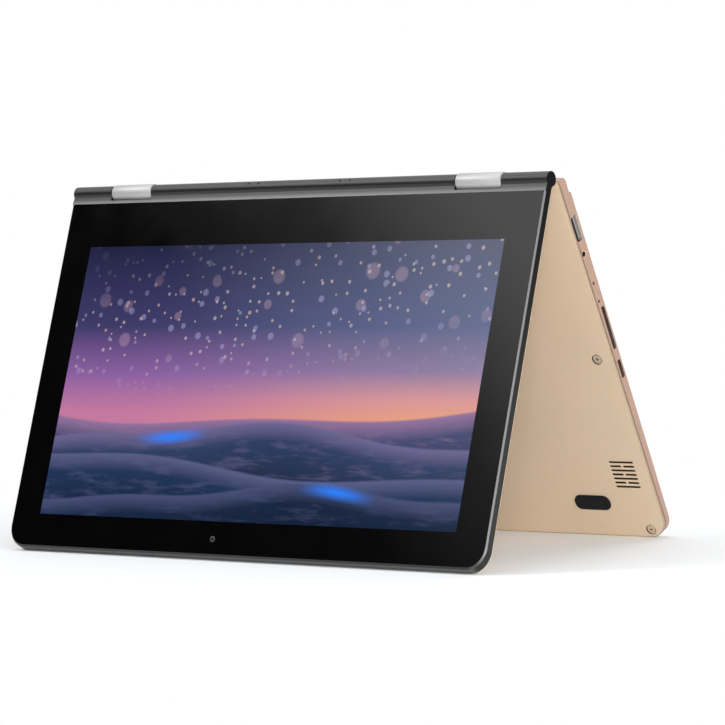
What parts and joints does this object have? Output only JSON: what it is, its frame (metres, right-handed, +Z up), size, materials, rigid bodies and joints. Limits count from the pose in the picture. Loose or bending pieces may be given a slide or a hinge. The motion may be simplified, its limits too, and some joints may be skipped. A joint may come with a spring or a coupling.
{
  "type": "convertible laptop computer",
  "caption": "Slim convertible laptop standing as a tent: lid folded back on two-axis hinges, glass-fronted display outwards, keyboard base behind.",
  "frame": {"origin": "on the floor under the middle of the standing tent", "axes": "+X along the hinges towards the user's left when the base lies flat, +Z up, the display faces -Y"},
  "size_m": [0.2903, 0.1512, 0.1756],
  "materials": {
    "champagne_shell": "satin anodised",
    "black_frame": "satin black",
    "cover_glass": "polished, black printed border",
    "display_panel": "lit picture",
    "satin_hinge": "satin",
    "hinge_steel": "bare",
    "black_rubber": "matt",
    "key_plastic": "matt black",
    "keyboard_metal": "black coated",
    "touch_surface": "silky",
    "port_metal": "bright",
    "black_plastic": "satin",
    "light_pipe": "clear",
    "circuit_board": "solder mask",
    "chip_package": "bare die and package",
    "copper": "bare copper",
    "battery_wrap": "foil wrapped"
  },
  "bodies": {
    "base": {"audio_socket": "black_plastic", "battery_cells": "battery_wrap", "bottom_cover": "champagne_shell", "bottom_screws": "hinge_steel", "button_board": "circuit_board", "card_socket": "port_metal", "heat_spreader": "copper", "indicator_lights": "light_pipe", "keyboard_plate": "keyboard_metal", "left_base_hinge_arm": "hinge_steel", "left_speaker": "black_plastic", "left_usb_socket": "port_metal", "mainboard": "circuit_board", "power_inlet": "black_plastic", "processor": "chip_package", "right_base_hinge_arm": "hinge_steel", "right_speaker": "black_plastic", "right_usb_socket": "port_metal", "rubber_feet": "black_rubber", "top_case": "champagne_shell", "touchpad_tray": "keyboard_metal", "video_socket": "port_metal", "wireless_card": "circuit_board"},
    "hinge_links": {"left_hinge_cover": "satin_hinge", "right_hinge_cover": "satin_hinge", "hinge_link_plates": "hinge_steel", "hinge_friction_washers": "hinge_steel"},
    "lid": {"display_frame": "black_frame", "cover_glass": "cover_glass", "display_panel": "display_panel", "camera_module": "black_plastic", "microphones": "black_plastic", "lid_back_cover": "champagne_shell", "left_lid_hinge_arm": "hinge_steel", "right_lid_hinge_arm": "hinge_steel"},
    "backspace_key": {"backspace_key": "key_plastic"},
    "caps_lock_key": {"caps_lock_key": "key_plastic"},
    "enter_key": {"enter_key": "key_plastic"},
    "key_row_bottom": {"key_row_bottom": "key_plastic"},
    "key_row_function": {"key_row_function": "key_plastic"},
    "key_row_home": {"key_row_home": "key_plastic"},
    "key_row_lower": {"key_row_lower": "key_plastic"},
    "key_row_numbers": {"key_row_numbers": "key_plastic"},
    "key_row_upper": {"key_row_upper": "key_plastic"},
    "left_shift_key": {"left_shift_key": "key_plastic"},
    "space_bar": {"space_bar": "key_plastic"},
    "tab_key": {"tab_key": "key_plastic"},
    "touchpad": {"touchpad": "touch_surface"},
    "volume_rocker": {"volume_rocker": "black_plastic"},
    "power_button": {"power_button": "black_plastic"}
  },
  "joints": [
    {"name": "base_hinge", "type": "hinge", "parent": "base", "child": "hinge_links", "pos_m": [0, -0.00453, 0.16869], "axis": [1, 0, 0], "range_deg": [-136.31, 43.69]},
    {"name": "lid_hinge", "type": "hinge", "parent": "hinge_links", "child": "lid", "pos_m": [0, -0.01282, 0.17162], "axis": [1, 0, 0], "range_deg": [-180, 0]},
    {"name": "touchpad_click", "type": "hinge", "parent": "base", "child": "touchpad", "pos_m": [0, 0.04814, 0.06145], "axis": [1, 0, 0], "range_deg": [-0.5, 0], "stiffness_Nm_per_rad": 20, "springref_deg": 1.15},
    {"name": "volume_rock", "type": "hinge", "parent": "base", "child": "volume_rocker", "pos_m": [0.1431, 0.02793, 0.10204], "axis": [0, 0.9122, 0.4098], "range_deg": [-1.5, 1.5], "stiffness_Nm_per_rad": 0.4},
    {"name": "power_press", "type": "slide", "parent": "base", "child": "power_button", "axis": [-1, 0, 0], "range_m": [0, 0.0003], "stiffness_N_per_m": 2000, "springref_m": -0.0005},
    {"name": "backspace_key_press", "type": "slide", "parent": "base", "child": "backspace_key", "axis": [0, -0.9122, -0.4098], "range_m": [0, 0.001], "stiffness_N_per_m": 500, "springref_m": -0.001},
    {"name": "caps_lock_key_press", "type": "slide", "parent": "base", "child": "caps_lock_key", "axis": [0, -0.9122, -0.4098], "range_m": [0, 0.001], "stiffness_N_per_m": 500, "springref_m": -0.001},
    {"name": "enter_key_press", "type": "slide", "parent": "base", "child": "enter_key", "axis": [0, -0.9122, -0.4098], "range_m": [0, 0.001], "stiffness_N_per_m": 500, "springref_m": -0.001},
    {"name": "key_row_bottom_press", "type": "slide", "parent": "base", "child": "key_row_bottom", "axis": [0, -0.9122, -0.4098], "range_m": [0, 0.001], "stiffness_N_per_m": 500, "springref_m": -0.001},
    {"name": "key_row_function_press", "type": "slide", "parent": "base", "child": "key_row_function", "axis": [0, -0.9122, -0.4098], "range_m": [0, 0.001], "stiffness_N_per_m": 500, "springref_m": -0.001},
    {"name": "key_row_home_press", "type": "slide", "parent": "base", "child": "key_row_home", "axis": [0, -0.9122, -0.4098], "range_m": [0, 0.001], "stiffness_N_per_m": 500, "springref_m": -0.001},
    {"name": "key_row_lower_press", "type": "slide", "parent": "base", "child": "key_row_lower", "axis": [0, -0.9122, -0.4098], "range_m": [0, 0.001], "stiffness_N_per_m": 500, "springref_m": -0.001},
    {"name": "key_row_numbers_press", "type": "slide", "parent": "base", "child": "key_row_numbers", "axis": [0, -0.9122, -0.4098], "range_m": [0, 0.001], "stiffness_N_per_m": 500, "springref_m": -0.001},
    {"name": "key_row_upper_press", "type": "slide", "parent": "base", "child": "key_row_upper", "axis": [0, -0.9122, -0.4098], "range_m": [0, 0.001], "stiffness_N_per_m": 500, "springref_m": -0.001},
    {"name": "left_shift_key_press", "type": "slide", "parent": "base", "child": "left_shift_key", "axis": [0, -0.9122, -0.4098], "range_m": [0, 0.001], "stiffness_N_per_m": 500, "springref_m": -0.001},
    {"name": "space_bar_press", "type": "slide", "parent": "base", "child": "space_bar", "axis": [0, -0.9122, -0.4098], "range_m": [0, 0.001], "stiffness_N_per_m": 500, "springref_m": -0.001},
    {"name": "tab_key_press", "type": "slide", "parent": "base", "child": "tab_key", "axis": [0, -0.9122, -0.4098], "range_m": [0, 0.001], "stiffness_N_per_m": 500, "springref_m": -0.001}
  ]
}
